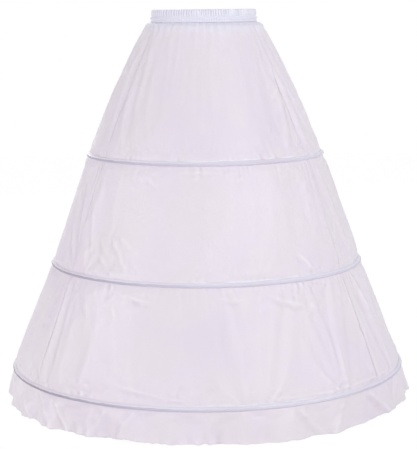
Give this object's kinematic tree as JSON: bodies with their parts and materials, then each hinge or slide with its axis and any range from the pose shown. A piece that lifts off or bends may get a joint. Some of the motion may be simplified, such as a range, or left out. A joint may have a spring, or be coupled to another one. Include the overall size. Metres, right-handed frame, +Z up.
{
  "type": "hoop skirt",
  "caption": "A-line hoop petticoat: elastic waistband, sewn gores held out by round hoops in casings, and a gathered flounce at the hem.",
  "frame": {"origin": "centre of the waist opening, at the top edge of the waistband", "axes": "+Z up along the skirt's axis, -Y towards the centre front, +X towards the right of someone looking at the front"},
  "size_m": [1.0097, 1.0116, 0.952],
  "materials": {
    "skirt_cloth": "smooth white taffeta with a faint lilac cast",
    "band_cloth": "bluish-white satin cloth",
    "elastic": "woven elastic",
    "hoop_tube": "smooth white springy tube",
    "joiner": "plain moulded plug"
  },
  "bodies": {
    "root": {"waistband": "band_cloth", "waist_elastic": "elastic", "front_panel": "skirt_cloth", "right_panel": "skirt_cloth", "back_panel": "skirt_cloth", "left_panel": "skirt_cloth", "upper_casing": "band_cloth", "middle_casing": "band_cloth", "lower_casing": "band_cloth", "upper_hoop": "hoop_tube", "middle_hoop": "hoop_tube", "lower_hoop": "hoop_tube", "upper_joiner": "joiner", "middle_joiner": "joiner", "lower_joiner": "joiner", "flounce": "skirt_cloth"}
  },
  "joints": []
}
